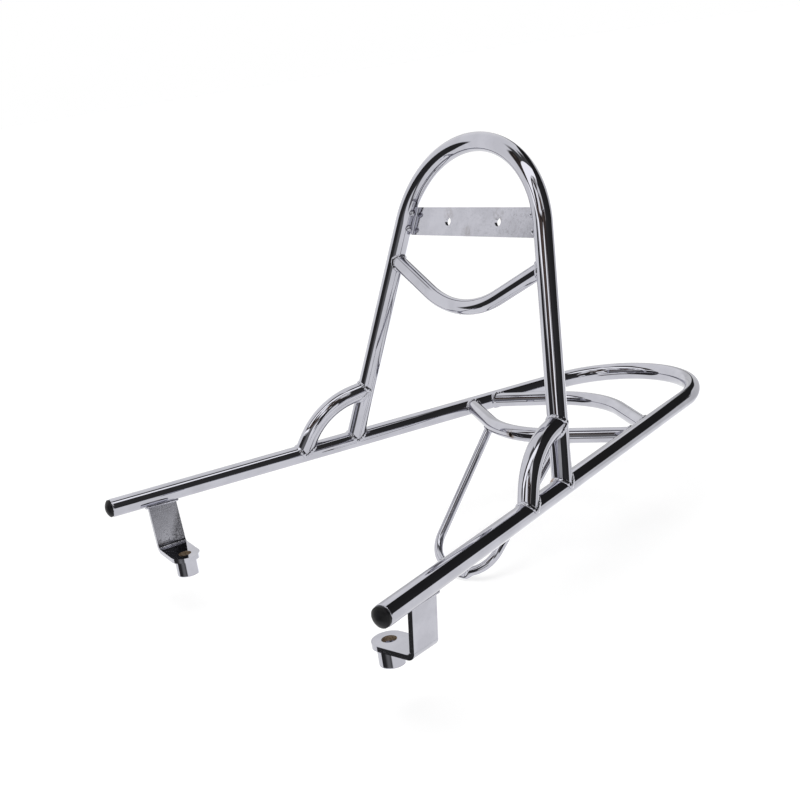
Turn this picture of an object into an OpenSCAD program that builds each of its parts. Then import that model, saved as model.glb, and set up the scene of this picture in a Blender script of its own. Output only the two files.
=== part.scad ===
// Motorcycle luggage rack with a backrest hoop, welded from bent chromed tube.
// +X is the left side of the bike, +Y the rear, +Z up. The origin lies midway between
// the two base bolts, on the bottom faces of the spacers.

/* [Main tubes] */
// Outer diameter of the base hoop, the backrest hoop and the braces
tube_d = 16; // [14:0.5:18]
// Wall of the main tubes
tube_wall = 1.5; // [1:0.1:2.5]

/* [Base hoop] */
// Distance between the two rails at their front ends, axis to axis
rail_spread = 370; // [350:1:390]
// Length of the base hoop from the rails' front ends to the axis of its rear bend
hoop_len = 501; // [470:1:530]
// Radius of the rear bend at the tube's axis
hoop_bend_r = 80; // [70:1:90]
// How far the rails' front ends lie ahead of the base bolts
rail_overhang = 35.4; // [28:0.1:45]

/* [Brackets] */
// Distance between the two base bolts
bolt_spacing = 276; // [264:1:288]
// Diameter of the base bolt holes
bolt_hole_d = 11; // [8.5:0.5:12.5]
// Width of the flat bar of the brackets
bar_w = 25; // [20:1:30]
// Thickness of that flat bar
bar_t = 4; // [3:0.5:6]
// Height of the rails' axis above the top face of the bracket tabs
bracket_h = 44.6; // [34:0.1:60]
// Distance from the bolt axis to the inner face of the upright, at the fold
bracket_reach = 29.3; // [24:0.1:33]
// Inner radius of the fold
fold_r = 3; // [1:0.5:5]
// Turn of the brackets about the vertical, so that they follow the splayed rails
bracket_turn = 9; // [0:0.5:14]

/* [Spacers] */
// Outer diameter of the spacers under the bracket tabs
spacer_d = 19; // [16:0.5:22]
// Length of the spacers
spacer_len = 14; // [8:0.5:24]

/* [Backrest hoop] */
// How far the hoop's feet stand behind the rails' front ends
back_setback = 223; // [205:1:240]
// Height of the hoop from the rails' axis to the axis of its top, along its own plane
back_len = 266; // [250:1:300]
// Radius of the top bend at the tube's axis
back_bend_r = 87; // [76:1:95]
// Rearward lean of the hoop from the vertical
back_lean = 17; // [10:0.5:25]

/* [Braces] */
// How far ahead of the hoop's foot each brace stands on the rail
brace_foot = 51.8; // [44:0.1:62]
// Height at which the brace meets the hoop's leg, along the leg
brace_h = 48.7; // [42:0.1:60]
// Radius of the brace's bend at the tube's axis
brace_bend_r = 63.8; // [58:0.1:75]
// Length of the brace's straight ends, from the axes of the tubes that it joins
brace_end = 14; // [12:0.5:16]

/* [Cross tubes] */
// Outer diameter of the three cross tubes
cross_d = 13; // [11:0.5:14]
// Wall of the cross tubes
cross_wall = 1.5; // [1:0.1:2]
// Slope of the cross tubes' straight ends
bow_slope = 28; // [22:0.5:32]
// Radius of the bend in the middle of the cross tubes
bow_r = 90; // [75:1:100]
// How far the rear cross tube's ends meet the rails ahead of the axis of the rear bend
rear_cross_in = 136.1; // [130:0.1:146]
// Distance between the ends of the front and the rear cross tube along the base
cross_gap = 20.6; // [18.5:0.1:26]
// How far the backrest's cross tube meets the hoop's legs below the axis of its top
back_cross_in = 99.4; // [95:0.1:116]
// Diameter of the vent holes in the closed cross tubes
vent_d = 4; // [2:0.5:5]

/* [Backrest plate] */
// How far the plate's middle lies below the axis of the hoop's top
plate_in = 65.6; // [60:0.2:72]
// Width of the plate strip, measured up the hoop's plane
plate_w = 24; // [18:1:30]
// Thickness of the plate
plate_t = 3; // [2:0.5:4]
// How far the plate's front face lies behind the hoop's axis plane
plate_back = 3; // [2:0.1:3.5]
// Distance between the two cushion bolt holes
pad_spacing = 61; // [40:1:80]
// Diameter of the cushion bolt holes
pad_hole_d = 7; // [5:0.5:9]

/* [Stay] */
// Diameter of the stay's round bar
stay_d = 8; // [6:0.5:8.5]
// Distance between the stay's two legs where they meet the front cross tube
stay_top_w = 87.2; // [80:0.2:96]
// Length of the stay from the cross tube to the axis of its bottom run
stay_len = 136; // [110:1:160]
// Forward slope of the stay from the vertical
stay_lean = 47; // [35:0.5:60]
// Radius of the stay's two bends at the bar's axis
stay_bend_r = 27.5; // [22:0.5:32]
// Length of the straight bottom run between the bends
stay_run = 17; // [10:0.5:24]
// How far below the cross tube's axis the stay's legs start
stay_drop = 2.5; // [0:0.1:2.6]
// Length of the pressed flat in the middle of the bottom run
eye_l = 38; // [32:1:44]
// Width of the pressed flat
eye_w = 14; // [12:0.5:18]
// Thickness of the pressed flat
eye_t = 4; // [3:0.5:6]
// Diameter of the stay's bolt hole
eye_hole_d = 6.5; // [4.5:0.5:8]

/* [End plugs] */
// Height of the plug's rim that covers the tube's end face
plug_rim = 1.5; // [1:0.1:3]
// Height of the plug's dome above the rim
plug_dome = 3.6; // [2:0.1:6]
// Length of the plug's stem inside the tube
plug_stem = 12; // [8:0.5:20]
// Gap between the stem and the tube, bridged by the stem's ribs
plug_gap = 0.5; // [0.2:0.1:0.8]

/* [Welds] */
// Height of the weld beads above the tubes
bead = 1.8; // [1:0.1:2.2]

/* [Hidden] */
$fn = 120;
tube_r = tube_d / 2;
cross_r = cross_d / 2;
// Overlap that lets a cut run clear of a face
cut = 1;
// The bends of a bar are thicker than its straight runs by seat all round,
// and the runs reach into them by lap, so that each run ends inside its bend
seat = 0.04;
lap = 0.1;
// Fit-up gap between a coped tube's end and the tube that it stands on
cope = 0.05;

// A hoop's leg turns in by this angle to run tangent into its bend
function splay(half, len, r) = atan2(half, len - r) - asin(r / norm([half, len - r]));
// Length of the hoop's straight leg up to the bend
function leg_len(half, len, r) = sqrt(half ^ 2 + (len - r) ^ 2 - r ^ 2);
// Half width of the hoop's axis at height y above its open end
function half_at(half, len, r, y) =
    let (a = splay(half, len, r), y_bend = leg_len(half, len, r) * cos(a))
    y < y_bend ? half - tan(a) * y : sqrt(r ^ 2 - (y - len + r) ^ 2);
// Rise of a bowed cross tube's axis at distance x from its middle
function bow_rise(x) =
    let (x_bend = bow_r * sin(bow_slope), rise = bow_r * (1 - cos(bow_slope)))
    x < x_bend ? bow_r - sqrt(bow_r ^ 2 - x ^ 2) : rise + (x - x_bend) * tan(bow_slope);
// Length of a bowed tube's straight end up to the axis of the leg that it meets
function bow_end(half, a, apex, way) =
    let (x_bend = bow_r * sin(bow_slope), y_bend = apex + way * bow_r * (1 - cos(bow_slope)))
    (half - tan(a) * y_bend - x_bend) / (cos(bow_slope) + way * tan(a) * sin(bow_slope));

// Base hoop
rail_half = rail_spread / 2;
rail_splay = splay(rail_half, hoop_len, hoop_bend_r);
tab_top = spacer_len + bar_t;
rail_z = tab_top + bracket_h;

// Backrest hoop, whose feet stand on the rails' axes
foot_half = rail_half - tan(rail_splay) * back_setback;
back_splay = splay(foot_half, back_len, back_bend_r);

// Braces lie in the plane of the rail and the hoop's leg, tilted from the vertical by brace_tilt
leg_dir = [-sin(back_splay), cos(back_splay) * sin(back_lean), cos(back_splay) * cos(back_lean)];
leg_along = leg_dir * [-sin(rail_splay), cos(rail_splay), 0];
leg_out = leg_dir * [cos(rail_splay), sin(rail_splay), 0];
brace_tilt = atan2(leg_out, leg_dir[2]);
leg_slant = atan2(leg_along, norm([leg_out, leg_dir[2]]));
// Ends of the brace's axis in that plane, along the rail and up from it
brace_a = [-brace_foot, 0];
brace_b = brace_h * [sin(leg_slant), cos(leg_slant)];
brace_chord = brace_b - brace_a;
brace_rise = atan2(brace_chord[1], brace_chord[0]);
brace_half_turn = asin(norm(brace_chord) / 2 / norm([brace_bend_r, brace_end]))
    - atan2(brace_end, brace_bend_r);
brace_up = brace_rise + brace_half_turn;
brace_c = brace_a + brace_end * [cos(brace_up), sin(brace_up)]
    + brace_bend_r * [sin(brace_up), -cos(brace_up)];

// Cross tubes: where their ends meet the axes of the legs, and the apex of each bow
rear_cross_y = hoop_len - rear_cross_in;
front_cross_y = rear_cross_y - cross_gap;
back_cross_h = back_len - back_cross_in;
rear_bow_y = rear_cross_y + bow_rise(half_at(rail_half, hoop_len, hoop_bend_r, rear_cross_y));
front_bow_y = front_cross_y - bow_rise(half_at(rail_half, hoop_len, hoop_bend_r, front_cross_y));
back_bow_h = back_cross_h - bow_rise(half_at(foot_half, back_len, back_bend_r, back_cross_h));

// Brackets: distance from the bolt axis out to the rail's axis, and the upright's lean
rail_out = (rail_half - tan(rail_splay) * rail_overhang - bolt_spacing / 2)
    / (cos(bracket_turn) + tan(rail_splay) * sin(bracket_turn));
lean_run = [rail_out - bracket_reach, bracket_h];
bracket_lean = atan2(lean_run[0], lean_run[1]) - asin(bar_t / 2 / norm(lean_run));
fold_turn = 90 - bracket_lean;
fold_x = bracket_reach - fold_r * tan(fold_turn / 2);
upright_len = (bracket_h - fold_r + (fold_r + bar_t / 2) * sin(bracket_lean)) / cos(bracket_lean);

// Backrest plate: inner radius of its folds, and how far its flanges are let into the hoop's curve
plate_fold_r = 1;
plate_sink = 0.3;
plate_mid_h = back_len - plate_in;
plate_fold_x = half_at(foot_half, back_len, back_bend_r, plate_mid_h)
    - (tube_r - plate_sink + plate_t + plate_fold_r) / cos(back_splay);
flange_depth = plate_back + plate_t;

// Stay
stay_half = stay_top_w / 2;
stay_top_y = front_bow_y + bow_rise(stay_half);
stay_splay = splay(stay_half - stay_run / 2, stay_len, stay_bend_r);
stay_leg = leg_len(stay_half - stay_run / 2, stay_len, stay_bend_r);
eye_corner_r = 5;

// Plugs
bore_r = tube_r - tube_wall;
stem_r = bore_r - plug_gap;
dome_r = (tube_r ^ 2 + plug_dome ^ 2) / (2 * plug_dome);
rib_h = 1.2;
rib_pitch = 3.2;

// Straight bar along +Y from the origin
module bar_y(d, l) rotate([-90, 0, 0]) cylinder(d = d, h = l);

// Bar bent about the origin of the XY plane, from angle a through turn degrees
module bar_bend(d, r, a, turn)
    rotate([0, 0, a]) rotate_extrude(angle = turn) translate([r, 0]) circle(r = d / 2 + seat);

// Straight run along +Y that ends inside the bend that follows it
module run_y(d, l, past = 0) translate([0, -past, 0]) bar_y(d, l + past + lap);

// Both sides of a thing that is drawn on +X
module both() {
    children();
    mirror([1, 0, 0]) children();
}

// Leg on +X of a hoop in the XY plane, open at y = 0
module hoop_leg(half, len, r, d, past = 0)
    translate([half, 0, 0]) rotate([0, 0, splay(half, len, r)]) run_y(d, leg_len(half, len, r), past);

// The hoop itself
module hoop_bar(half, len, r, d, past = 0) {
    a = splay(half, len, r);
    both() hoop_leg(half, len, r, d, past);
    translate([0, len - r, 0]) bar_bend(d, r, a, 180 - 2 * a);
}

// Straight end on +X of a bowed bar in the XY plane, its middle at the origin and its ends rising along +Y
module bow_end_bar(end, d, past = 0)
    translate([bow_r * sin(bow_slope), bow_r * (1 - cos(bow_slope)), 0])
        rotate([0, 0, bow_slope - 90]) translate([0, -lap, 0]) bar_y(d, end + lap + past);

// The bowed bar itself
module bow_bar(end, d) {
    both() bow_end_bar(end, d);
    translate([0, bow_r, 0]) bar_bend(d, bow_r, -90 - bow_slope, 2 * bow_slope);
}

// Planes in which the tubes are bent
module at_base() translate([0, -rail_overhang, rail_z]) children();
module at_back() at_base() translate([0, back_setback, 0]) rotate([90 - back_lean, 0, 0]) children();
module at_stay()
    at_base() translate([0, stay_top_y, -stay_drop]) rotate([-90 - stay_lean, 0, 0]) children();
module at_brace()
    at_base() translate([foot_half, back_setback, 0]) rotate([0, 0, rail_splay])
        rotate([0, brace_tilt, 0]) rotate([90, 0, 90]) children();
module at_bracket() translate([bolt_spacing / 2, 0, 0]) rotate([0, 0, bracket_turn]) children();
module at_rail_end() at_base() translate([rail_half, 0, 0]) rotate([0, 0, rail_splay]) children();

// Solid bars, from which the tubes, their copes and the weld beads are made
module base_bar(d, past = 0) at_base() hoop_bar(rail_half, hoop_len, hoop_bend_r, d, past);
module rail(d) at_base() hoop_leg(rail_half, hoop_len, hoop_bend_r, d);
module back_bar(d) at_back() hoop_bar(foot_half, back_len, back_bend_r, d);
module back_leg(d, past = 0) at_back() hoop_leg(foot_half, back_len, back_bend_r, d, past);

// Straight ends of the brace, the foot's and the top's
module brace_low(d, past = 0)
    at_brace() translate([brace_a[0], brace_a[1], 0]) rotate([0, 0, brace_up - 90])
        run_y(d, brace_end, past);
module brace_high(d, past = 0)
    at_brace() translate([brace_b[0], brace_b[1], 0])
        rotate([0, 0, brace_up - 2 * brace_half_turn + 90]) run_y(d, brace_end, past);
module brace_bar(d) {
    brace_low(d);
    brace_high(d);
    at_brace() translate([brace_c[0], brace_c[1], 0])
        bar_bend(d, brace_bend_r, brace_up - 2 * brace_half_turn + 90, 2 * brace_half_turn);
}

// Bowed cross tubes, and the straight end on +X of each
front_end = bow_end(rail_half, rail_splay, front_bow_y, 1);
rear_end = bow_end(rail_half, rail_splay, rear_bow_y, -1);
back_end = bow_end(foot_half, back_splay, back_bow_h, 1);
module at_front_bow() at_base() translate([0, front_bow_y, 0]) children();
module at_rear_bow() at_base() translate([0, rear_bow_y, 0]) mirror([0, 1, 0]) children();
module at_back_bow() at_back() translate([0, back_bow_h, 0]) children();

// Leg of the stay
module stay_leg_bar(d, past = 0)
    at_stay() translate([stay_half, 0, 0]) rotate([0, 0, stay_splay]) run_y(d, stay_leg, past);

// The bead where a branch meets a carrier: what lies within reach of both and in neither.
// Children: grown branch, grown carrier, branch, carrier.
module seam() {
    color("gainsboro") difference() {
        intersection() {
            children(0);
            children(1);
        }
        children(2);
        children(3);
    }
}

module base_hoop()
    color("silver") difference() {
        base_bar(tube_d);
        base_bar(tube_d - 2 * tube_wall, past = cut);
    }

module backrest_hoop()
    color("silver") difference() {
        back_bar(tube_d);
        back_bar(tube_d - 2 * tube_wall);
        both() rail(tube_d + 2 * cope);
    }

module brace()
    color("silver") difference() {
        brace_bar(tube_d);
        brace_bar(tube_d - 2 * tube_wall);
        rail(tube_d + 2 * cope);
        back_leg(tube_d + 2 * cope);
    }

module brace_left() brace();
module brace_right() mirror([1, 0, 0]) brace();

module front_cross_tube()
    color("silver") difference() {
        at_front_bow() bow_bar(front_end, cross_d);
        at_front_bow() bow_bar(front_end, cross_d - 2 * cross_wall);
        both() rail(tube_d);
        at_front_bow() translate([0, -cross_r - cut, 0]) bar_y(vent_d, cross_r + cut);
    }

module rear_cross_tube()
    color("silver") difference() {
        at_rear_bow() bow_bar(rear_end, cross_d);
        at_rear_bow() bow_bar(rear_end, cross_d - 2 * cross_wall);
        both() rail(tube_d);
    }

module backrest_cross_tube()
    color("silver") difference() {
        at_back_bow() bow_bar(back_end, cross_d);
        at_back_bow() bow_bar(back_end, cross_d - 2 * cross_wall);
        both() back_leg(tube_d);
        at_back_bow() translate([0, -cross_r - cut, 0]) bar_y(vent_d, cross_r + cut);
    }

// Section across the plate's fold: the end of the flat, the fold and the flange
module fold_section() {
    translate([-plate_t, 0]) square([plate_t, plate_t]);
    translate([0, plate_t + plate_fold_r]) intersection() {
        difference() {
            circle(r = plate_fold_r + plate_t);
            circle(r = plate_fold_r);
        }
        translate([0, -plate_fold_r - plate_t]) square(plate_fold_r + plate_t);
    }
    translate([plate_fold_r, plate_t + plate_fold_r])
        square([plate_t, flange_depth - plate_t - plate_fold_r]);
}

// Plate strip with both ends folded forward along the hoop's legs
module plate_solid() {
    flat_x = plate_fold_x - plate_t / 2;
    slant = tan(back_splay) * plate_w / 2;
    at_back() translate([0, plate_mid_h, -plate_back - plate_t]) {
        linear_extrude(plate_t) polygon([
            [-flat_x - slant, -plate_w / 2], [flat_x + slant, -plate_w / 2],
            [flat_x - slant, plate_w / 2], [-flat_x + slant, plate_w / 2]
        ]);
        intersection() {
            both() translate([plate_fold_x, 0, 0]) rotate([0, 0, back_splay])
                translate([0, plate_w, 0]) rotate([90, 0, 0]) linear_extrude(2 * plate_w) fold_section();
            translate([-foot_half, -plate_w / 2, -cut]) cube([2 * foot_half, plate_w, flange_depth + 2 * cut]);
        }
    }
}

module backrest_plate()
    color("gainsboro") difference() {
        plate_solid();
        back_bar(tube_d);
        at_back() both() translate([pad_spacing / 2, plate_mid_h, -plate_back - plate_t - cut])
            cylinder(d = pad_hole_d, h = plate_t + 2 * cut);
    }

// Upright of the bracket, from inside the fold to the rail's axis
module upright(grow = 0)
    at_bracket() translate([fold_x, -bar_w / 2 - grow, tab_top + fold_r]) rotate([0, bracket_lean, 0])
        translate([fold_r - grow, 0, -lap])
            cube([bar_t + 2 * grow, bar_w + 2 * grow, upright_len + lap]);

module bracket()
    color("silver") difference() {
        union() {
            at_bracket() {
                translate([0, 0, spacer_len]) {
                    cylinder(d = bar_w, h = bar_t);
                    translate([0, -bar_w / 2, 0]) cube([fold_x + lap, bar_w, bar_t]);
                }
                translate([fold_x, bar_w / 2, tab_top + fold_r]) rotate([90, 0, 0])
                    rotate([0, 0, -90]) rotate_extrude(angle = fold_turn)
                        translate([fold_r - seat, 0]) square([bar_t + 2 * seat, bar_w]);
            }
            upright();
        }
        at_bracket() translate([0, 0, spacer_len - cut]) cylinder(d = bolt_hole_d, h = bar_t + 2 * cut);
        rail(tube_d);
    }

module bracket_left() bracket();
module bracket_right() mirror([1, 0, 0]) bracket();

module spacer()
    color("silver") at_bracket() difference() {
        cylinder(d = spacer_d, h = spacer_len);
        translate([0, 0, -cut]) cylinder(d = bolt_hole_d, h = spacer_len + 2 * cut);
    }

module spacer_left() spacer();
module spacer_right() mirror([1, 0, 0]) spacer();

// Flat eye with round corners, in the stay's plane
module eye_outline() {
    square([eye_l - 2 * eye_corner_r, eye_w], center = true);
    square([eye_l, eye_w - 2 * eye_corner_r], center = true);
    for (x = [-1, 1], y = [-1, 1])
        translate([x * (eye_l / 2 - eye_corner_r), y * (eye_w / 2 - eye_corner_r)]) circle(r = eye_corner_r);
}

module stay_rod()
    color("silver") difference() {
        union() {
            difference() {
                union() {
                    both() stay_leg_bar(stay_d);
                    at_stay() both() translate([stay_run / 2, stay_len - stay_bend_r, 0])
                        bar_bend(stay_d, stay_bend_r, stay_splay, 90 - stay_splay);
                }
                at_stay() translate([-eye_l / 2 + eye_corner_r, stay_len - eye_w, -stay_d])
                    cube([eye_l - 2 * eye_corner_r, 2 * eye_w, 2 * stay_d]);
            }
            at_stay() translate([0, stay_len, -eye_t / 2]) linear_extrude(eye_t) eye_outline();
        }
        at_stay() translate([0, stay_len, -eye_t / 2 - cut]) cylinder(d = eye_hole_d, h = eye_t + 2 * cut);
        at_front_bow() bow_bar(front_end, cross_d);
    }

// Domed plug with a ribbed stem, drawn along the rail's axis
module end_plug()
    color("#1c1c1e") at_rail_end() {
        translate([0, -plug_rim, 0]) bar_y(tube_d, plug_rim);
        intersection() {
            translate([0, dome_r - plug_dome - plug_rim, 0]) sphere(r = dome_r);
            translate([0, -plug_rim - plug_dome, 0]) bar_y(tube_d, plug_dome);
        }
        bar_y(2 * stem_r, plug_stem);
        for (i = [0 : floor((plug_stem - rib_h) / rib_pitch) - 1])
            translate([0, rib_h + i * rib_pitch, 0]) bar_y(2 * bore_r, rib_h);
    }

module end_plug_left() end_plug();
module end_plug_right() mirror([1, 0, 0]) end_plug();

module backrest_foot_welds() both() seam() {
    back_leg(tube_d + 2 * bead);
    rail(tube_d + 1.6 * bead);
    back_leg(tube_d + 4 * cope, past = bead);
    rail(tube_d);
}

module brace_foot_welds() both() seam() {
    brace_low(tube_d + 2 * bead);
    rail(tube_d + 1.6 * bead);
    brace_low(tube_d + 2 * cope, past = bead);
    rail(tube_d);
}

module brace_top_welds() both() seam() {
    brace_high(tube_d + 2 * bead);
    back_leg(tube_d + 1.6 * bead);
    brace_high(tube_d + 2 * cope, past = bead);
    back_leg(tube_d);
}

module front_cross_welds() both() seam() {
    at_front_bow() bow_end_bar(front_end, cross_d + 2 * bead);
    rail(tube_d + 1.6 * bead);
    at_front_bow() bow_end_bar(front_end, cross_d, past = bead);
    rail(tube_d);
}

module rear_cross_welds() both() seam() {
    at_rear_bow() bow_end_bar(rear_end, cross_d + 2 * bead);
    rail(tube_d + 1.6 * bead);
    at_rear_bow() bow_end_bar(rear_end, cross_d, past = bead);
    rail(tube_d);
}

module backrest_cross_welds() both() seam() {
    at_back_bow() bow_end_bar(back_end, cross_d + 2 * bead);
    back_leg(tube_d + 1.6 * bead);
    at_back_bow() bow_end_bar(back_end, cross_d, past = bead);
    back_leg(tube_d);
}

module stay_welds() seam() {
    both() stay_leg_bar(stay_d + 2 * bead);
    at_front_bow() bow_bar(front_end, cross_d + 1.6 * bead);
    both() stay_leg_bar(stay_d, past = bead);
    at_front_bow() bow_bar(front_end, cross_d);
}

module bracket_welds() both() seam() {
    upright(grow = bead);
    rail(tube_d + 1.6 * bead);
    upright();
    rail(tube_d);
}

// Two weld spots at each end of the plate, where its flange meets the hoop's leg
module plate_welds()
    color("gainsboro") difference() {
        at_back() both() for (h = [-0.3, 0.25] * plate_w)
            translate([half_at(foot_half, back_len, back_bend_r, plate_mid_h + h) - tube_r - plate_t / 2,
                plate_mid_h + h, 1]) sphere(r = 2.8);
        back_bar(tube_d);
        plate_solid();
    }

base_hoop();
backrest_hoop();
brace_left();
brace_right();
front_cross_tube();
rear_cross_tube();
backrest_cross_tube();
backrest_plate();
bracket_left();
bracket_right();
spacer_left();
spacer_right();
stay_rod();
end_plug_left();
end_plug_right();
backrest_foot_welds();
brace_foot_welds();
brace_top_welds();
front_cross_welds();
rear_cross_welds();
backrest_cross_welds();
stay_welds();
bracket_welds();
plate_welds();
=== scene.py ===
import math

import bmesh
import bpy
import numpy as np
from mathutils import Matrix, Vector, noise


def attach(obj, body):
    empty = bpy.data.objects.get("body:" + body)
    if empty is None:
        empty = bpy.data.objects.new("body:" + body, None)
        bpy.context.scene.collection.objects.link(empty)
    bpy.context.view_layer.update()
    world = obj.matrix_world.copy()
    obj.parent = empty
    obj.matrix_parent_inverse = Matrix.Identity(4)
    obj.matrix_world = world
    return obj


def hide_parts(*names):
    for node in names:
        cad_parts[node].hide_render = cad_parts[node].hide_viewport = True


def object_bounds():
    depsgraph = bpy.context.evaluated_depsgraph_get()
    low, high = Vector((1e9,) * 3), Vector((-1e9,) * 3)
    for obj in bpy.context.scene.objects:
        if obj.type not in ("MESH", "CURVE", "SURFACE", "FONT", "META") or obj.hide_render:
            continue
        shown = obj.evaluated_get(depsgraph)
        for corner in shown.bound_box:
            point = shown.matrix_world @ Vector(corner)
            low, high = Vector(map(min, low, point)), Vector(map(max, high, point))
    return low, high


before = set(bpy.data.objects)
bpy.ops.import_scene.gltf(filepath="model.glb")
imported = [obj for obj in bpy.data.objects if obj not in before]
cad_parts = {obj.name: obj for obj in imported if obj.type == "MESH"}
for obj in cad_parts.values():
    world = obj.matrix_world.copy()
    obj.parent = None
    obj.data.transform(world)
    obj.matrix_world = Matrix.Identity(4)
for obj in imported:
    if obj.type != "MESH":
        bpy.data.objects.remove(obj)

CAD_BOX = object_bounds()
scene = bpy.context.scene
scene.view_settings.view_transform = "Standard"
MM = 0.001
rad = math.radians

# Camera: the photograph's viewing angle

camera = bpy.data.objects.new("camera", bpy.data.cameras.new("camera"))
scene.collection.objects.link(camera)
scene.camera = camera
camera.data.lens = 56.484
camera.data.sensor_width = 36
camera.data.clip_start = 0.05
EYE = (0.77575, -0.44948, 0.39895)
RIGHT = (0.6339604, 0.7594830, -0.1458761)
DOWN = (0.1168806, -0.2805505, -0.9526964)
AHEAD = (-0.7644823, 0.5869216, -0.2666267)
camera.matrix_world = Matrix(
    [[RIGHT[i], -DOWN[i], -AHEAD[i], EYE[i]] for i in range(3)] + [[0, 0, 0, 1]]
)


# Node graphs


class Graph:
    """Short calls that add nodes to a tree; a value may be a number or another node's output."""

    def __init__(self, tree):
        self.t = tree
        tree.nodes.clear()

    def put(self, socket, value):
        if isinstance(value, bpy.types.NodeSocket):
            self.t.links.new(value, socket)
        else:
            socket.default_value = value

    def add(self, kind, ins=None, **props):
        n = self.t.nodes.new("ShaderNode" + kind)
        for k, v in props.items():
            setattr(n, k, v)
        for k, v in (ins or {}).items():
            self.put(n.inputs[k], v)
        return n

    def math(self, op, *values):
        n = self.add("Math", operation=op)
        for i, v in enumerate(values):
            self.put(n.inputs[i], v)
        return n.outputs[0]

    def step(self, x, a, b, lo=0.0, hi=1.0):
        """A smooth step from lo at a to hi at b."""
        n = self.add("MapRange", interpolation_type="SMOOTHSTEP")
        for k, v in enumerate((x, a, b, lo, hi)):
            self.put(n.inputs[k], v)
        return n.outputs[0]

    def blend(self, f, a, b):
        """Colour a where f is 0, and b where it is 1."""
        n = self.add("Mix", data_type="RGBA")
        for k, v in ((0, f), (6, a), (7, b)):
            self.put(n.inputs[k], v)
        return n.outputs[2]

    def curve(self, x, points, lo, hi):
        """A smooth curve through (x, y) points; lo and hi bound y."""
        x0, x1 = points[0][0], points[-1][0]
        n = self.add("FloatCurve")
        c = n.mapping.curves[0]
        for i, (px, py) in enumerate(points):
            at = ((px - x0) / (x1 - x0), (py - lo) / (hi - lo))
            if i < 2:
                c.points[i].location = at
            else:
                c.points.new(*at)
        for p in c.points:
            p.handle_type = "AUTO_CLAMPED"
        n.mapping.update()
        self.put(n.inputs[1], self.add("MapRange", {0: x, 1: x0, 2: x1}).outputs[0])
        return self.add("MapRange", {0: n.outputs[0], 3: lo, 4: hi}).outputs[0]

    def noise(self, where, scale, detail=2.0, rough=0.5, out=0):
        ins = {"Vector": where, "Scale": scale, "Detail": detail, "Roughness": rough}
        return self.add("TexNoise", ins).outputs[out]


# Studio: pale surroundings with the dark panels and lamps that chrome mirrors.
# Directions are azimuth from +x and elevation, in degrees. Tones are linear greys.

# Dark panel to the right: lower and upper edge, and tone, by azimuth
RIGHT_LOW = [(-30, 26), (-10, 24), (-3, 16), (3, 0), (25, 1), (46, 0), (60, 1), (68, 2), (76, 12)]
RIGHT_LOW += [(81, 19.5), (88, 24), (96, 24.5), (105, 21.5), (114, 18), (124, 15.5), (133, 11)]
RIGHT_HIGH = [(-30, 40), (-10, 58), (0, 62), (15, 62), (30, 62), (50, 64), (70, 66)]
RIGHT_HIGH += [(85, 65), (100, 58), (109, 46), (115, 33), (121, 27), (127, 20), (133, 11)]
RIGHT_TONE = [(-10, 0.05), (0, 0.045), (20, 0.035), (50, 0.03), (70, 0.022)]
# Dark panel beyond the camera, likewise
NEAR_LOW = [(-139, 10), (-136, -8), (-132, -24), (-127, -31), (-113, -32), (-96, -32), (-89, -28)]
NEAR_LOW += [(-85, -18), (-82, -9), (-76, -5), (-60, -2), (-50, 0), (-38, 2), (-30, 0), (-24, -3)]
NEAR_LOW += [(-21, 8), (-18, 14), (-14, 14), (-11, 8), (-8, 0), (2, -3), (20, -5), (28, -2)]
NEAR_HIGH = [(-139, 6), (-136, 16), (-133, 19), (-126, 21.5), (-90, 22.5), (-38, 22.5)]
NEAR_HIGH += [(-30, 24), (-10, 30), (10, 33), (30, 33)]
NEAR_TONE = [(-137, 0.04), (-128, 0.035), (-95, 0.04), (-85, 0.12), (-70, 0.2), (-58, 0.18)]
NEAR_TONE += [(-50, 0.12), (-38, 0.05), (-34, 0.025), (-15, 0.04), (10, 0.04)]
# Lower edge of the lamp strip along the near panel's top
STRIP_LOW = [(-138, 14), (-133, 18), (-126, 22), (-116, 24), (-100, 24.5), (-82, 23)]
# Direction square to the ceiling strip's middle line
STRIP_SIDE = (-0.8541, 0.4750, 0.2122)
# Lowest and highest elevation that the edges' curves may take
EDGE_RANGE = (-40, 80)
PANEL_SOFT = 0.9


def grey(v):
    return (v, v, v, 1.0)


class Sky:
    """The world's graph, with the mirrored direction as azimuth and elevation."""

    def __init__(self, tree):
        g = Graph(tree)
        self.g = g
        self.way = g.add("TexCoord").outputs["Generated"]
        x, y, z = g.add("SeparateXYZ", {0: self.way}).outputs
        self.az = g.math("MULTIPLY", g.math("ARCTAN2", y, x), math.degrees(1))
        self.el = g.math("MULTIPLY", g.math("ARCSINE", z), math.degrees(1))
        wave = g.math("MULTIPLY", g.math("SUBTRACT", g.noise(self.way, 5.0, 2.0), 0.5), 3.0)
        # Elevation with a slight wave, so that no edge is quite straight
        self.wavy_el = g.math("ADD", self.el, wave)

    def inside(self, x, a, b, c, d):
        """1 between b and c, falling to 0 at a and d."""
        g = self.g
        return g.math("MULTIPLY", g.step(x, a, b), g.step(x, c, d, 1.0, 0.0))

    def window(self, h, v, height=None):
        """A soft-edged rectangle: h in azimuth, v in elevation."""
        tall = self.inside(self.wavy_el if height is None else height, *v)
        return self.g.math("MULTIPLY", self.inside(self.az, *h), tall)

    def between(self, low, high):
        """1 between two curved edges."""
        g = self.g
        lo = g.curve(self.az, low, *EDGE_RANGE)
        hi = g.curve(self.az, high, *EDGE_RANGE)
        a = g.step(g.math("SUBTRACT", self.wavy_el, lo), -PANEL_SOFT, PANEL_SOFT)
        b = g.step(g.math("SUBTRACT", hi, self.wavy_el), -PANEL_SOFT, PANEL_SOFT)
        return g.math("MULTIPLY", a, b)


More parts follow.
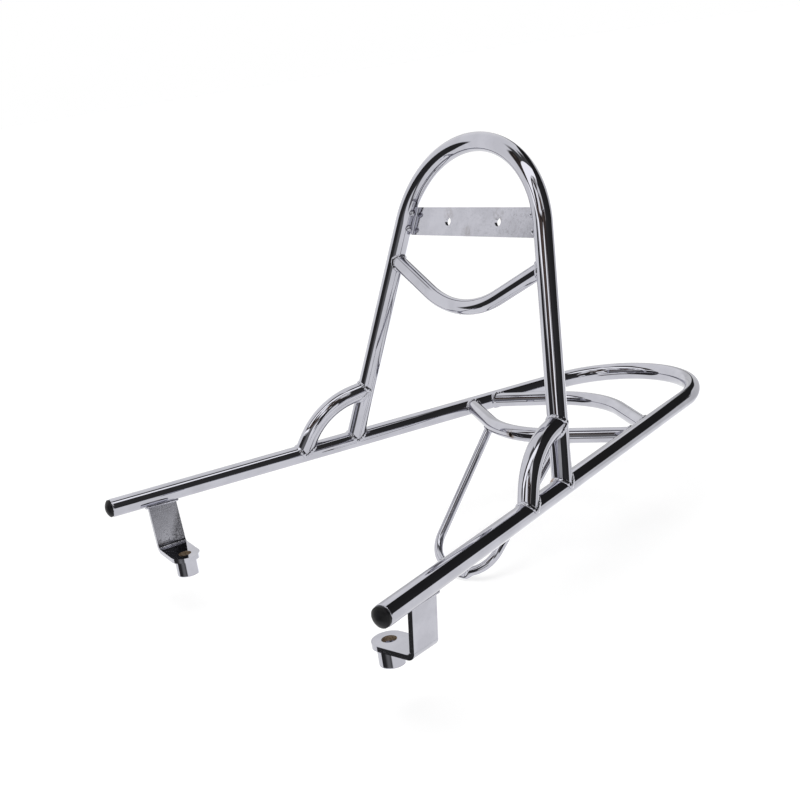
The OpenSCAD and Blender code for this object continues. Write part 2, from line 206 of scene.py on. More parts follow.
def backdrop(sky):
    """Pale room, duller beyond the object and bright low down behind it."""
    g = sky.g
    centre_az, centre_el, inner, outer = 112.0, -20.0, 11.0, 23.0
    darker = sky.window((60, 74, 148, 157), (-22, -12, 18, 30), sky.el)
    c = g.blend(darker, grey(1.05), grey(0.76))
    narrow = g.math("COSINE", g.math("RADIANS", sky.el))
    across = g.math("MULTIPLY", g.math("SUBTRACT", sky.az, centre_az), narrow)
    up = g.math("SUBTRACT", sky.el, centre_el)
    square = g.math("ADD", g.math("POWER", across, 2.0), g.math("POWER", up, 2.0))
    return g.blend(g.step(g.math("SQRT", square), inner, outer), grey(1.9), c)


def clutter(sky, c):
    """Cluttered room above the camera's side: dark, with brown and pale patches and two windows."""
    g = sky.g
    spread = g.add("Mapping", {0: sky.way, 3: (1.0, 1.0, 1.7)}).outputs[0]
    shape = g.noise(spread, 4.6, 2.0, 0.5)
    pale_side = g.math("MULTIPLY", g.step(sky.az, -42.0, -30.0), g.step(sky.wavy_el, 44.0, 52.0))
    room = g.blend(pale_side, (0.045, 0.038, 0.034, 1), grey(0.5))
    busy = g.math("MULTIPLY", g.step(sky.wavy_el, 37.0, 40.0), g.step(sky.az, -92.0, -84.0))
    room = g.blend(g.math("MULTIPLY", g.step(shape, 0.56, 0.575), busy), room, grey(1.1))
    room = g.blend(g.step(shape, 0.405, 0.43, 1.0, 0.0), room, (0.17, 0.125, 0.10, 1))
    room = g.blend(sky.window((-80, -75, -56, -50), (37, 40, 54, 60)), room, grey(1.4))
    room = g.blend(sky.window((-23, -20, -9, -6), (46, 49, 60, 64)), room, grey(1.1))
    return g.blend(sky.window((-134, -130.5, -12, -2), (22.5, 24.5, 68, 76)), c, room)


def ceiling(sky, c):
    """Long ceiling light, with a dark stretch of ceiling beside it."""
    g = sky.g
    product = g.add("VectorMath", {0: sky.way, 1: STRIP_SIDE}, operation="DOT_PRODUCT")
    side = product.outputs["Value"]
    dark = g.math("MULTIPLY", sky.inside(side, 0.11, 0.13, 0.33, 0.5), g.step(sky.el, 62.0, 68.0))
    dark = g.math("MULTIPLY", dark, g.step(sky.az, 118.0, 128.0, 1.0, 0.0))
    c = g.blend(dark, c, grey(0.09))
    light = sky.inside(side, -0.12, -0.1, 0.11, 0.125)
    return g.blend(g.math("MULTIPLY", light, g.step(sky.el, 31.0, 34.0)), c, grey(1.7))


def near_panel(sky, c):
    """Dark panel beyond the camera, with a lamp, a pale rail, two windows and a lamp strip."""
    g = sky.g
    ends = sky.inside(sky.az, -139.0, -136.0, 18.0, 28.0)
    dark = g.math("MULTIPLY", sky.between(NEAR_LOW, NEAR_HIGH), ends)
    foot = sky.window((-95, -88, -46, -36), (-31.5, -30, -19.5, -17.5), sky.el)
    c = g.blend(g.math("MAXIMUM", dark, foot), c, g.curve(sky.az, NEAR_TONE, 0, 1.4))
    c = g.blend(sky.window((-56, -50, -42, -37), (-3, 2, 14, 20), sky.el), c, grey(1.35))
    for h, v, tone in (
        ((-82, -78, -34, -28), (21.5, 22.3, 23.5, 24.3), 0.5),
        ((-51, -49, -38, -36), (24, 25, 33, 35), 1.6),
        ((-32, -31, -28, -27), (25, 26, 31, 32), 0.9),
    ):
        c = g.blend(sky.window(h, v), c, grey(tone))
    above = g.math("SUBTRACT", sky.wavy_el, g.curve(sky.az, STRIP_LOW, *EDGE_RANGE))
    return g.blend(sky.window((-133, -129, -90, -82), (0, 0.8, 4.2, 5.5), above), c, grey(1.7))


def right_panel(sky, c):
    """Large dark panel to the right; its left end leans."""
    g = sky.g
    leaning = g.math("ADD", sky.az, g.math("MULTIPLY", sky.el, -0.12))
    dark = g.math("MULTIPLY", sky.between(RIGHT_LOW, RIGHT_HIGH), g.step(leaning, -12.0, -7.0))
    return g.blend(dark, c, g.curve(sky.az, RIGHT_TONE, 0, 0.3))


def studio():
    world = bpy.data.worlds.new("studio")
    scene.world = world
    world.use_nodes = True
    sky = Sky(world.node_tree)
    c = backdrop(sky)
    for layer in (clutter, ceiling, near_panel, right_panel):
        c = layer(sky, c)
    g = sky.g
    room = g.add("Background", {"Color": c, "Strength": 1.0}).outputs[0]
    white = g.add("Background", {"Color": grey(1.0), "Strength": 1.0}).outputs[0]
    seen = g.add("LightPath").outputs["Is Camera Ray"]
    both = g.add("MixShader", {0: seen, 1: room, 2: white}).outputs[0]
    g.add("OutputWorld", {"Surface": both})


def softbox(name, at, aim, size, watts):
    lamp = bpy.data.lights.new(name, "AREA")
    lamp.size = size
    lamp.energy = watts
    o = bpy.data.objects.new(name, lamp)
    o.location = at
    o.rotation_euler = (Vector(aim) - Vector(at)).to_track_quat("-Z", "Y").to_euler()
    o.visible_glossy = False
    scene.collection.objects.link(o)


def new_material(name):
    """A material, its graph and the coordinates on the object."""
    m = bpy.data.materials.new(name)
    m.use_nodes = True
    g = Graph(m.node_tree)
    return m, g, g.add("TexCoord").outputs["Object"]


def floor():
    """White floor just below the object; it keeps the shadow, and glows a little more far away."""
    below = 0.2 * MM
    bpy.ops.mesh.primitive_plane_add(size=60, location=(0, 0.2, CAD_BOX[0][2] - below))
    o = bpy.context.object
    o.name = "floor"
    m, g, where = new_material("floor_white")
    matt = g.add("BsdfDiffuse", {"Color": grey(0.5)}).outputs[0]
    away = g.add("VectorMath", {0: where}, operation="LENGTH").outputs["Value"]
    glow = g.add("Emission", {"Strength": g.step(away, 0.6, 2.5, 0.66, 0.73)}).outputs[0]
    both = g.add("AddShader", {0: matt, 1: glow}).outputs[0]
    g.add("OutputMaterial", {"Surface": both})
    o.data.materials.append(m)
    o.visible_glossy = False


# Materials


CHROME = (0.50, 0.50, 0.55)


def plating(k):
    """The chrome's colour, k times as bright."""
    return tuple(c * k for c in CHROME) + (1,)


def stained(g, at, colour, gloss, centre, inner, outer, tone, much):
    """A blotch of tone around a point in mm: full within inner, gone at outer."""
    point = tuple(c * MM for c in centre)
    d = g.add("VectorMath", {0: at, 1: point}, operation="DISTANCE").outputs["Value"]
    spot = g.step(d, inner * MM, outer * MM, 1.0, 0.0)
    ragged = g.step(g.noise(at, 300.0, 2.0, 0.5), 0.25, 0.7, 0.0, much)
    spot = g.math("MULTIPLY", spot, ragged)
    return g.blend(spot, colour, tone + (1,)), g.math("ADD", gloss, g.math("MULTIPLY", spot, 0.35))


def painted_fold_shade(g, at, colour, full, gone):
    """Painted shade: darkens the colour low down in a bracket's fold, most of all towards its two
    edges.
    """
    spread, cloud_size, bend_low, bend_top = 2.0, 0.02, 5.5 * MM, 9 * MM
    x, y, z = g.add("SeparateXYZ", {0: at}).outputs
    low = g.math("SUBTRACT", z, g.math("MULTIPLY", g.math("ABSOLUTE", y), spread))
    cloud = g.math("SUBTRACT", g.noise(at, 260.0, 3.0, 0.6), 0.5)
    low = g.math("ADD", low, g.math("MULTIPLY", cloud, cloud_size))
    # Mask of the painted shade: full low down, gone higher up, none on the bend itself
    darker = g.step(low, full * MM, gone * MM, 0.85, 0.0)
    darker = g.math("MULTIPLY", darker, g.step(z, bend_low, bend_top))
    speck = g.step(g.noise(at, 900.0, 3.0, 0.7), 0.42, 0.6, 1.0, 0.35)
    return g.blend(g.math("MULTIPLY", darker, speck), colour, (0.07, 0.068, 0.075, 1))


def chrome(
    name,
    rough=0.02,
    ripple=0.3,
    mottle=0.0,
    patches=170.0,
    grain=900.0,
    stains=(),
    grime=0.0,
    fold_shade=None,
):
    """Chrome plating. patches and grain are noise scales; the last argument is (full, gone) in mm
    for the shade painted low in a bracket's fold.
    """
    m, g, at = new_material(name)
    fine = g.noise(at, grain, 3.0, 0.6)
    soft = g.noise(at, 45.0, 3.0, 0.5)
    # Faint clouds in the colour, and a haze that changes the gloss
    colour = g.blend(g.step(soft, 0.35, 0.65), plating(0.94), plating(1.04))
    if mottle:
        patch = g.step(g.noise(at, patches, 4.0, 0.65), 0.45, 0.7, 0.0, mottle)
        colour = g.blend(patch, colour, plating(0.72))
    haze = g.step(fine, 0.45, 0.8, 0.0, rough * (1.0 + 2.0 * mottle))
    gloss = g.math("ADD", rough, haze)
    for stain in stains:
        colour, gloss = stained(g, at, colour, gloss, *stain)
    # Painted shade low down in a bracket's fold
    if fold_shade:
        colour = painted_fold_shade(g, at, colour, *fold_shade)
    if grime:
        dirt = g.step(g.noise(at, 380.0, 4.0, 0.65), 0.56, 0.74, 0.0, grime)
        colour = g.blend(dirt, colour, (0.16, 0.11, 0.07, 1))
        gloss = g.math("ADD", gloss, g.math("MULTIPLY", dirt, 0.3))
    height = g.math("ADD", soft, g.math("MULTIPLY", fine, 0.02 + 0.25 * mottle))
    bump = g.add("Bump", {"Strength": ripple, "Distance": 0.06 * MM, "Height": height}).outputs[0]
    looks = {"Base Color": colour, "Metallic": 1.0, "Roughness": gloss, "Normal": bump}
    g.add("OutputMaterial", {"Surface": g.add("BsdfPrincipled", looks).outputs[0]})
    return m


def plastic(name):
    """Dusty black plastic."""
    m, g, at = new_material(name)
    grain = g.noise(at, 1500.0, 3.0, 0.6)
    dust = g.noise(at, 260.0, 4.0, 0.6)
    colour = g.blend(g.step(dust, 0.4, 0.75), (0.006, 0.006, 0.007, 1), (0.014, 0.014, 0.016, 1))
    bump = g.add("Bump", {"Strength": 0.35, "Distance": 0.1 * MM, "Height": grain}).outputs[0]
    gloss = g.step(dust, 0.3, 0.7, 0.36, 0.5)
    shader = g.add("BsdfPrincipled", {"Base Color": colour, "Roughness": gloss, "Normal": bump})
    shader.inputs["Specular IOR Level"].default_value = 0.2
    g.add("OutputMaterial", {"Surface": shader.outputs[0]})
    return m


def bare(name, light, deep, rough=0.5):
    """Dull, unplated metal inside a bore; made nearly black, it is also painted shade."""
    m, g, at = new_material(name)
    cloud = g.noise(at, 500.0, 4.0, 0.6)
    colour = g.blend(g.step(cloud, 0.35, 0.65), deep + (1,), light + (1,))
    bump = g.add("Bump", {"Strength": 0.5, "Distance": 0.2 * MM, "Height": cloud}).outputs[0]
    looks = {"Base Color": colour, "Metallic": 0.35, "Roughness": rough, "Normal": bump}
    g.add("OutputMaterial", {"Surface": g.add("BsdfPrincipled", looks).outputs[0]})
    return m


# Paths of the bars' axes, in metres

TUBE_R, CROSS_R, STAY_R = 8 * MM, 6.5 * MM, 4 * MM
RAIL_Y, RAIL_Z = -35.4 * MM, 62.6 * MM
# Base hoop: half width at the front ends, length, bend radius
HOOP = (185 * MM, 501 * MM, 80 * MM)
# Backrest: how far behind the rails' ends it stands, lean, height in its own plane, bend radius
SETBACK, LEAN = 223 * MM, rad(17)
BACK_LEN, BACK_R = 266 * MM, 87 * MM
# Cross tubes: slope, bend radius, and how far along its hoop each one's middle is
BOW_SLOPE, BOW_R = rad(28), 90 * MM
FRONT_BOW, REAR_BOW, BACK_BOW = 302.504 * MM, 404.025 * MM, 129.533 * MM
# Braces: foot to the leg's foot, height up the leg, bend radius, length of the straight ends
BRACE = (51.8 * MM, 48.7 * MM, 63.8 * MM, 14 * MM)
# Stay: half width, length, bend radius, half of the bottom run, slope, start below the tubes' axes
STAY = (43.6 * MM, 136 * MM, 27.5 * MM, 8.5 * MM, rad(47), 2.5 * MM)
# Height of the backrest plate's middle line in the backrest's plane
PLATE_H = 200.4 * MM


def splay(half, length, r):
    """Angle of a hoop's legs to its middle line."""
    return math.atan2(half, length - r) - math.asin(r / math.hypot(half, length - r))


def leg_len(half, length, r):
    """Straight length of a hoop's leg."""
    return math.sqrt(half**2 + (length - r) ** 2 - r**2)


def arc(cx, cy, r, a0, a1, step=rad(1.5)):
    n = max(2, int(abs(a1 - a0) / step))
    t = np.linspace(a0, a1, n + 1)
    return np.c_[cx + r * np.cos(t), cy + r * np.sin(t)]


def line(p, q, step=6 * MM):
    p, q = np.array(p), np.array(q)
    n = max(1, int(np.linalg.norm(q - p) / step))
    return p + (q - p) * np.linspace(0, 1, n + 1)[:, None]


def join(*runs):
    return np.vstack([runs[0]] + [r[1:] for r in runs[1:]])


def hoop_path(half, length, r):
    a, n = splay(half, length, r), leg_len(half, length, r)
    t = (half - n * math.sin(a), n * math.cos(a))
    bend = arc(0, length - r, r, a, math.pi - a)
    return join(line((half, 0), t), bend, line((-t[0], t[1]), (-half, 0)))


def rise(x):
    """How far a cross tube has risen at x from its middle."""
    xb = BOW_R * math.sin(BOW_SLOPE)
    if x < xb:
        return BOW_R - math.sqrt(BOW_R**2 - x**2)
    return BOW_R * (1 - math.cos(BOW_SLOPE)) + (x - xb) * math.tan(BOW_SLOPE)


def bow_path(half, a, apex, way):
    """A shallow V between legs that splay by a; way is 1 or -1 for the side it opens to."""
    s = BOW_SLOPE
    xb, yb = BOW_R * math.sin(s), BOW_R * (1 - math.cos(s))
    reach = half - math.tan(a) * (apex + way * yb) - xb
    end = reach / (math.cos(s) + way * math.tan(a) * math.sin(s))
    tip = (xb + end * math.cos(s), yb + end * math.sin(s))
    bend = arc(0, BOW_R, BOW_R, s - math.pi / 2, -s - math.pi / 2)
    run = join(line(tip, (xb, yb)), bend, line((-xb, yb), (-tip[0], tip[1])))
    return np.c_[run[:, 0], apex + way * run[:, 1]]


def plane(origin, ex, ey, ez):
    """A plane's origin, and its two directions and normal as rows."""
    return np.array(origin), np.array([ex, ey, ez])


def place(where, points):
    points = np.asarray(points, float)
    if points.shape[1] == 2:
        points = np.c_[points, np.zeros(len(points))]
    return where[0] + points @ where[1]


BASE = plane((0, RAIL_Y, RAIL_Z), (1, 0, 0), (0, 1, 0), (0, 0, 1))
BACK = plane(
    (0, RAIL_Y + SETBACK, RAIL_Z),
    (1, 0, 0),
    (0, math.sin(LEAN), math.cos(LEAN)),
    (0, -math.cos(LEAN), math.sin(LEAN)),
)
SPLAY = splay(*HOOP)
FOOT = HOOP[0] - math.tan(SPLAY) * SETBACK
BACK_SPLAY = splay(FOOT, BACK_LEN, BACK_R)
leg = np.array(
    [
        -math.sin(BACK_SPLAY),
        math.cos(BACK_SPLAY) * math.sin(LEAN),
        math.cos(BACK_SPLAY) * math.cos(LEAN),
    ]
)
rail_in = np.array([-math.sin(SPLAY), math.cos(SPLAY), 0])
rail_side = np.array([math.cos(SPLAY), math.sin(SPLAY), 0])
TILT = math.atan2(leg @ rail_side, leg[2])
SLANT = math.atan2(leg @ rail_in, math.hypot(leg @ rail_side, leg[2]))
brace_up = math.sin(TILT) * rail_side + np.array([0, 0, math.cos(TILT)])
leg_foot = (FOOT, RAIL_Y + SETBACK, RAIL_Z)
BRACE_PLANE = plane(leg_foot, rail_in, brace_up, np.cross(rail_in, brace_up))


def brace_path():
    foot, high, r, e = BRACE
    a = np.array([-foot, 0.0])
    t = high * np.array([math.sin(SLANT), math.cos(SLANT)])
    ch = t - a
    h = math.asin(np.linalg.norm(ch) / 2 / math.hypot(r, e)) - math.atan2(e, r)
    k = math.atan2(ch[1], ch[0])
    up, dn = k + h, k - h
    p = a + e * np.array([math.cos(up), math.sin(up)])
    c = p + r * np.array([math.sin(up), -math.cos(up)])
    q = t - e * np.array([math.cos(dn), math.sin(dn)])
    bend = arc(c[0], c[1], r, up + math.pi / 2, dn + math.pi / 2)
    return join(line(a, p, 2 * MM), bend, line(q, t, 2 * MM))


STAY_Y = FRONT_BOW + rise(STAY[0])
STAY_PLANE = plane(
    (0, RAIL_Y + STAY_Y, RAIL_Z - STAY[5]),
    (1, 0, 0),
    (0, -math.sin(STAY[4]), -math.cos(STAY[4])),
    (0, math.cos(STAY[4]), -math.sin(STAY[4])),
)


def stay_path():
    half, length, r, run = STAY[:4]
    a, n = splay(half - run, length, r), leg_len(half - run, length, r)
    t = (half - n * math.sin(a), n * math.cos(a))
    one = arc(run, length - r, r, a, math.pi / 2, rad(2.5))
    two = arc(-run, length - r, r, math.pi / 2, math.pi - a, rad(2.5))
    flat = line((run, length), (-run, length), 0.5 * MM)
    return join(line((half, 0), t), one, flat, two, line((-t[0], t[1]), (-half, 0)))


PATH = {
    "base_hoop": place(BASE, hoop_path(*HOOP)),
    "backrest_hoop": place(BACK, hoop_path(FOOT, BACK_LEN, BACK_R)),
    "brace_left": place(BRACE_PLANE, brace_path()),
    "front_cross_tube": place(BASE, bow_path(HOOP[0], SPLAY, FRONT_BOW, 1)),
    "rear_cross_tube": place(BASE, bow_path(HOOP[0], SPLAY, REAR_BOW, -1)),
    "backrest_cross_tube": place(BACK, bow_path(FOOT, BACK_SPLAY, BACK_BOW, 1)),
    "stay_rod": place(STAY_PLANE, stay_path()),
}
PATH["brace_right"] = PATH["brace_left"] * [-1, 1, 1]


# Bars as swept meshes, their ends coped to the bar that they stand on

# How far an end runs into the bar that it stands on, and the least gap at its last whole ring
SINK, CLEAR = 0.5 * MM, 0.6 * MM
# Two slanting directions that no bar and no hole runs along
SLANTED, SLANTED_TOO = (0.3, 0.5, 0.81), (0.21, 0.47, 0.86)


def unit(v):
    return v / np.linalg.norm(v, axis=-1, keepdims=True)


def axes(points):
    """Tangent, and two directions across it that don't twist, at each point of a path."""
    t = unit(np.gradient(points, axis=0))
    u = np.cross(t[0], SLANTED)
    us = []
    for d in t:
        u = unit(u - (u @ d) * d)
        us.append(u)
    us = np.array(us)
    return t, us, np.cross(t, us)


def gap(points, path):
    """Distance from each point to a path."""
    a, b = path[:-1], path[1:]
    ab = b - a
    ap = points[..., None, :] - a
    s = np.clip((ap * ab).sum(-1) / (ab * ab).sum(-1), 0, 1)
    return np.linalg.norm(ap - s[..., None] * ab, axis=-1).min(-1)


def near_part(path, point, reach=0.08):
    """The part of a path close to a point."""
    close = np.flatnonzero(np.linalg.norm(path - point, axis=1) < reach)
    return path[max(0, close[0] - 1) : close[-1] + 2]


def nearest(point, path):
    """The path's point that is closest to a point."""
    a, b = path[:-1], path[1:]
    ab = b - a
    s = np.clip(((point - a) * ab).sum(-1) / (ab * ab).sum(-1), 0, 1)
    q = a + s[:, None] * ab
    return q[np.linalg.norm(point - q, axis=-1).argmin()]


def march(ring, way, path, r):
    """Where lines from a ring's points, going along way, come to r from a path."""
    reach, step = 40, 0.25
    t = np.arange(0, reach, step) * MM
    d = gap(ring[:, None, :] + t[None, :, None] * way, near_part(path, ring.mean(0))) - r
    out = []
    for i in range(len(ring)):
        if (d[i] <= 0).any():
            k = max(1, int(np.argmax(d[i] <= 0)))
            at = t[k - 1] + d[i, k - 1] / (d[i, k - 1] - d[i, k]) * step * MM
        else:
            at = t[d[i].argmin()]
        out.append(ring[i] + way * at)
    return np.array(out)


def circle_ring(p, u, v, r, n):
    a = np.linspace(0, 2 * math.pi, n, endpoint=False)[:, None]
    return p + r * (np.cos(a) * u + np.sin(a) * v)


def free_end(points, r, main, main_r, n):
    """Index of the first ring that clears the main bar, counted from the path's start."""
    t, u, v = axes(points)
    main = near_part(main, points[0], 0.12)
    for i in range(len(points)):
        if gap(circle_ring(points[i], u[i], v[i], r, n), main).min() > main_r + CLEAR:
            return i
    raise ValueError("a bar never clears the bar that it stands on")


def seam_curve(points, r, main, main_r, n=96):
    """Closed curve where a bar's surface meets the main bar's, at the path's start."""
    i = free_end(points, r, main, main_r, n)
    t, u, v = axes(points)
    ring = circle_ring(points[i], u[i], v[i], r, n)
    return march(ring, -t[i], main, main_r), points[i], t[i]


def skin(rings, caps=True):
    """Vertices and faces of a tube of rings, closed at both ends by caps."""
    n = len(rings[0])
    verts = [tuple(p) for ring in rings for p in ring]
    faces = []
    for i in range(len(rings) - 1):
        for j in range(n):
            k = (j + 1) % n
            faces.append((i * n + j, i * n + k, (i + 1) * n + k, (i + 1) * n + j))
    if caps:
        faces.append(tuple(range(n - 1, -1, -1)))
        faces.append(tuple(range((len(rings) - 1) * n, len(rings) * n)))
    return verts, faces


def mesh_object(name, verts, faces, material, sharp=40):
    me = bpy.data.meshes.new(name)
    me.from_pydata(verts, [], faces)
    me.validate()
    bm = bmesh.new()
    bm.from_mesh(me)
    bmesh.ops.recalc_face_normals(bm, faces=bm.faces)
    bm.to_mesh(me)
    bm.free()
    me.shade_smooth()
    me.set_sharp_from_angle(angle=rad(sharp))
    o = bpy.data.objects.new(name, me)
    scene.collection.objects.link(o)
    me.materials.append(material)
    return o


# Turned edge of an open end: how far in from the surface, and how far back from the end
TURNED = ((0, 1.9), (0, 1.2), (0.03, 0.65), (0.16, 0.26), (0.38, 0.06), (0.65, 0.0))


def bar(name, path, r, material, start=None, end=None, sides=64):
    """A round bar along a path. start, end: (path, radius) of the bars that its ends stand on."""
    first, last = 0, len(path) - 1
    t, u, v = axes(path)
    if start:
        first = free_end(path, r, start[0], start[1], sides)
    if end:
        last = len(path) - 1 - free_end(path[::-1], r, end[0], end[1], sides)
    rings = [circle_ring(path[i], u[i], v[i], r, sides) for i in range(first, last + 1)]
    if not start:
        for k, (inset, back) in enumerate(TURNED):
            a = circle_ring(path[0] + t[0] * back * MM, u[0], v[0], r - inset * MM, sides)
            z = circle_ring(path[-1] - t[-1] * back * MM, u[-1], v[-1], r - inset * MM, sides)
            rings = [a] + rings[0 if k else 1 :][: None if k else -1] + [z]
    if start:
        rings.insert(0, march(rings[0], -t[first], start[0], start[1] - SINK))
    if end:
        rings.append(march(rings[-1], t[last], end[0], end[1] - SINK))
    return mesh_object(name, *skin(rings), material)


def applied(o):
    """Bakes an object's modifiers into its mesh."""
    deps = bpy.context.evaluated_depsgraph_get()
    me = bpy.data.meshes.new_from_object(o.evaluated_get(deps))
    o.modifiers.clear()
    o.data = me
    return o


def drill(o, centre, way, d, depth, inside, sharp=40):
    """Cuts a round hole into a piece; its wall gets the material inside."""
    if inside.name not in o.data.materials:
        o.data.materials.append(inside)
    centre, way = np.array(centre, float), unit(np.array(way, float))
    u = unit(np.cross(way, SLANTED_TOO))
    v = np.cross(way, u)
    before, sides = 4 * MM, 48
    rings = [circle_ring(centre + way * at, u, v, d / 2, sides) for at in (-before, depth)]
    cutter = mesh_object(o.name + "_cutter", *skin(rings), inside)
    mod = o.modifiers.new("hole", "BOOLEAN")
    mod.operation = "DIFFERENCE"
    mod.solver = "EXACT"
    mod.material_mode = "TRANSFER"
    mod.object = cutter
    applied(o)
    bpy.data.objects.remove(cutter)
    o.data.shade_smooth()
    o.data.set_sharp_from_angle(angle=rad(sharp))


def lathe(name, where, profile, material, n=96, sharp=40):
    """Turns (radius, height) points about the plane's third axis."""
    a = np.linspace(0, 2 * math.pi, n, endpoint=False)
    rings = []
    for r, h in profile:
        rings.append(place(where, np.c_[r * np.cos(a), r * np.sin(a), np.full(n, h)]))
    verts, faces = skin(rings, caps=False)
    m = len(profile)
    for j in range(n):
        k = (j + 1) % n
        faces.append(((m - 1) * n + j, (m - 1) * n + k, k, j))
    return mesh_object(name, verts, faces, material, sharp)


# Welds


# A bead's rings along its seam, and the points of each ring
BEAD_STEPS, BEAD_SIDES = 220, 14
# Usual size of a bead, and the smaller one at the stay
BEAD, STAY_BEAD = 1.6 * MM, 1.3 * MM


def bead_mesh(seam, centre, axis, main, size, seed, verts, faces):
    """A lumpy bead laid along a closed seam."""
    wave_length, flat, wide, lift, lump_size = 2.6 * MM, 0.72, 1.3, 0.1 * MM, 0.22 * MM
    m = len(seam)
    fine = np.linspace(0, m, BEAD_STEPS, endpoint=False)
    i0 = fine.astype(int)
    f = (fine - i0)[:, None]
    pts = seam[i0 % m] * (1 - f) + seam[(i0 + 1) % m] * f
    along = unit(np.roll(pts, -1, 0) - np.roll(pts, 1, 0))
    total = np.linalg.norm(np.roll(pts, -1, 0) - pts, axis=1).cumsum()
    waves = max(6, round(total[-1] / wave_length))
    base = len(verts)
    for i, p in enumerate(pts):
        from_main = unit(p - nearest(p, main))
        q = p - centre
        from_bar = unit(q - (q @ axis) * axis)
        up = from_main + from_bar
        up = unit(up - (up @ along[i]) * along[i])
        side = np.cross(along[i], up)
        ph = 2 * math.pi * waves * total[i] / total[-1]
        jitter = 1.2 * noise.noise(Vector(p) * 500 + Vector((seed, 0, 0)))
        swell = 1 + 0.06 * math.cos(ph + jitter)
        swell += 0.34 * noise.noise(Vector(p) * 150 + Vector((0, seed, 0)))
        for j in range(BEAD_SIDES):
            a = 2 * math.pi * j / BEAD_SIDES
            d = math.cos(a) * up * flat + math.sin(a) * side * wide
            w = p + up * lift + d * (size * swell)
            lump = noise.noise(Vector(w) * 460 + Vector((seed, seed, 0)))
            verts.append(tuple(w + unit(d) * lump * lump_size))
    for i in range(BEAD_STEPS):
        a, b = base + i * BEAD_SIDES, base + (i + 1) % BEAD_STEPS * BEAD_SIDES
        for j in range(BEAD_SIDES):
            h = (j + 1) % BEAD_SIDES
            faces.append((a + j, a + h, b + h, b + j))


def beads(name, joints, material, size):
    """joints: (path, radius, main path, main radius), with the seam at the path's start."""
    verts, faces = [], []
    for k, (path, r, main, main_r) in enumerate(joints):
        seam, centre, axis = seam_curve(path, r, main, main_r)
        bead_mesh(seam, centre, axis, main, size, 7.3 * k + len(name), verts, faces)
    return mesh_object(name, verts, faces, material, sharp=80)


def lumpy(name, node, wave, rounds):
    """A weld from its CAD solid: rounded off, then made uneven by about wave."""
    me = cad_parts[node].data.copy()
    o = bpy.data.objects.new(name, me)
    scene.collection.objects.link(o)
    mod = o.modifiers.new("remesh", "REMESH")
    mod.mode = "VOXEL"
    mod.voxel_size = 0.4 * MM
    mod = o.modifiers.new("round", "SMOOTH")
    mod.iterations = rounds
    applied(o)
    me = o.data
    swollen = 0.25 * MM
    moves = []
    for p in me.vertices:
        w = p.co.copy()
        h = noise.noise(w * 420) * wave
        h += noise.noise(w * 900 + Vector((5, 5, 5))) * wave * 0.5
        moves.append(w + p.normal * (h + swollen))
    for p, w in zip(me.vertices, moves):
        p.co = w
    me.materials.clear()
    me.materials.append(weld_metal)
    me.shade_smooth()
    return o


def softened(name, node, material, width, segments):
    """A CAD solid's shape with its edges rounded off."""
    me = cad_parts[node].data.copy()
    bm = bmesh.new()
    bm.from_mesh(me)
    bmesh.ops.remove_doubles(bm, verts=bm.verts, dist=1e-6)
    bmesh.ops.dissolve_limit(bm, angle_limit=rad(0.6), verts=bm.verts, edges=bm.edges)
    sharp = [e for e in bm.edges if len(e.link_faces) == 2 and e.calc_face_angle() > rad(50)]
    bmesh.ops.bevel(
        bm,
        geom=sharp,
        offset=width,
        offset_type="OFFSET",
        segments=segments,
        profile=0.5,
        affect="EDGES",
        clamp_overlap=True,
    )
    bm.to_mesh(me)
    bm.free()
    me.shade_smooth()
    o = bpy.data.objects.new(name, me)
    scene.collection.objects.link(o)
    mod = o.modifiers.new("flat", "WEIGHTED_NORMAL")
    mod.mode = "FACE_AREA"
    mod.weight = 90
    mod.keep_sharp = False
    applied(o)
    o.data.materials.clear()
    o.data.materials.append(material)
    return o


def finish(o, slot, *nodes):
    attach(o, "root")
    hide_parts(*nodes)
    return o


# The object

BROWN, RUST = (0.17, 0.11, 0.06), (0.30, 0.16, 0.06)
BOLT_X = 138 * MM
VENT_D, VENT_DEPTH = 4 * MM, 3.5 * MM
# Stains on the plate's front: across and up from its middle in mm, and tone
PLATE_STAINS = (
    (-30.5, 6.0, (0.34, 0.29, 0.27)),
    (30.5, 6.0, (0.30, 0.27, 0.25)),
    (-6.0, -9.0, (0.36, 0.32, 0.29)),
)


def on_plate(x, up):
    """A point near the plate's front face, in mm."""
    return tuple(place(BACK, [(x * MM, PLATE_H + up * MM)])[0] / MM + BACK[1][2] * -3)


foot = PATH["backrest_hoop"][0] / MM
vent = (0, (RAIL_Y + FRONT_BOW - CROSS_R) / MM, RAIL_Z / MM)

tube_metal = chrome("tube_chrome")
cross_metal = chrome("cross_chrome", stains=[(vent, 2.0, 6.5, BROWN, 0.75)])
rod_metal = chrome("rod_chrome", rough=0.03)
bracket_metal = chrome("bracket_chrome", rough=0.06, ripple=0.35, mottle=0.04, grain=420.0)
# Brackets' inner faces: rougher and mottled, with painted shade low in the fold
inner_metal = chrome(
    "bracket_inner", rough=0.14, ripple=0.8, mottle=0.45, patches=800.0, grain=800.0, fold_shade=(6, 18)
)
plate_metal = chrome(
    "plate_chrome",
    rough=0.1,
    ripple=0.18,
    mottle=0.02,
    grain=420.0,
    stains=[(on_plate(x, up), 2.0, 8.0, tone, 0.3) for x, up, tone in PLATE_STAINS],
)
spacer_metal = chrome("spacer_chrome", rough=0.03, ripple=0.4)
weld_metal = chrome(
    "weld_chrome",
    rough=0.04,
    ripple=0.6,
    grime=0.18,
    stains=[((foot[0] - 6, foot[1] - 6, foot[2] + 8), 2.5, 7.0, RUST, 0.8)],
)
plug_black = plastic("plug_plastic")
bore_brown = bare("bore_brown", (0.52, 0.41, 0.29), (0.24, 0.16, 0.10))
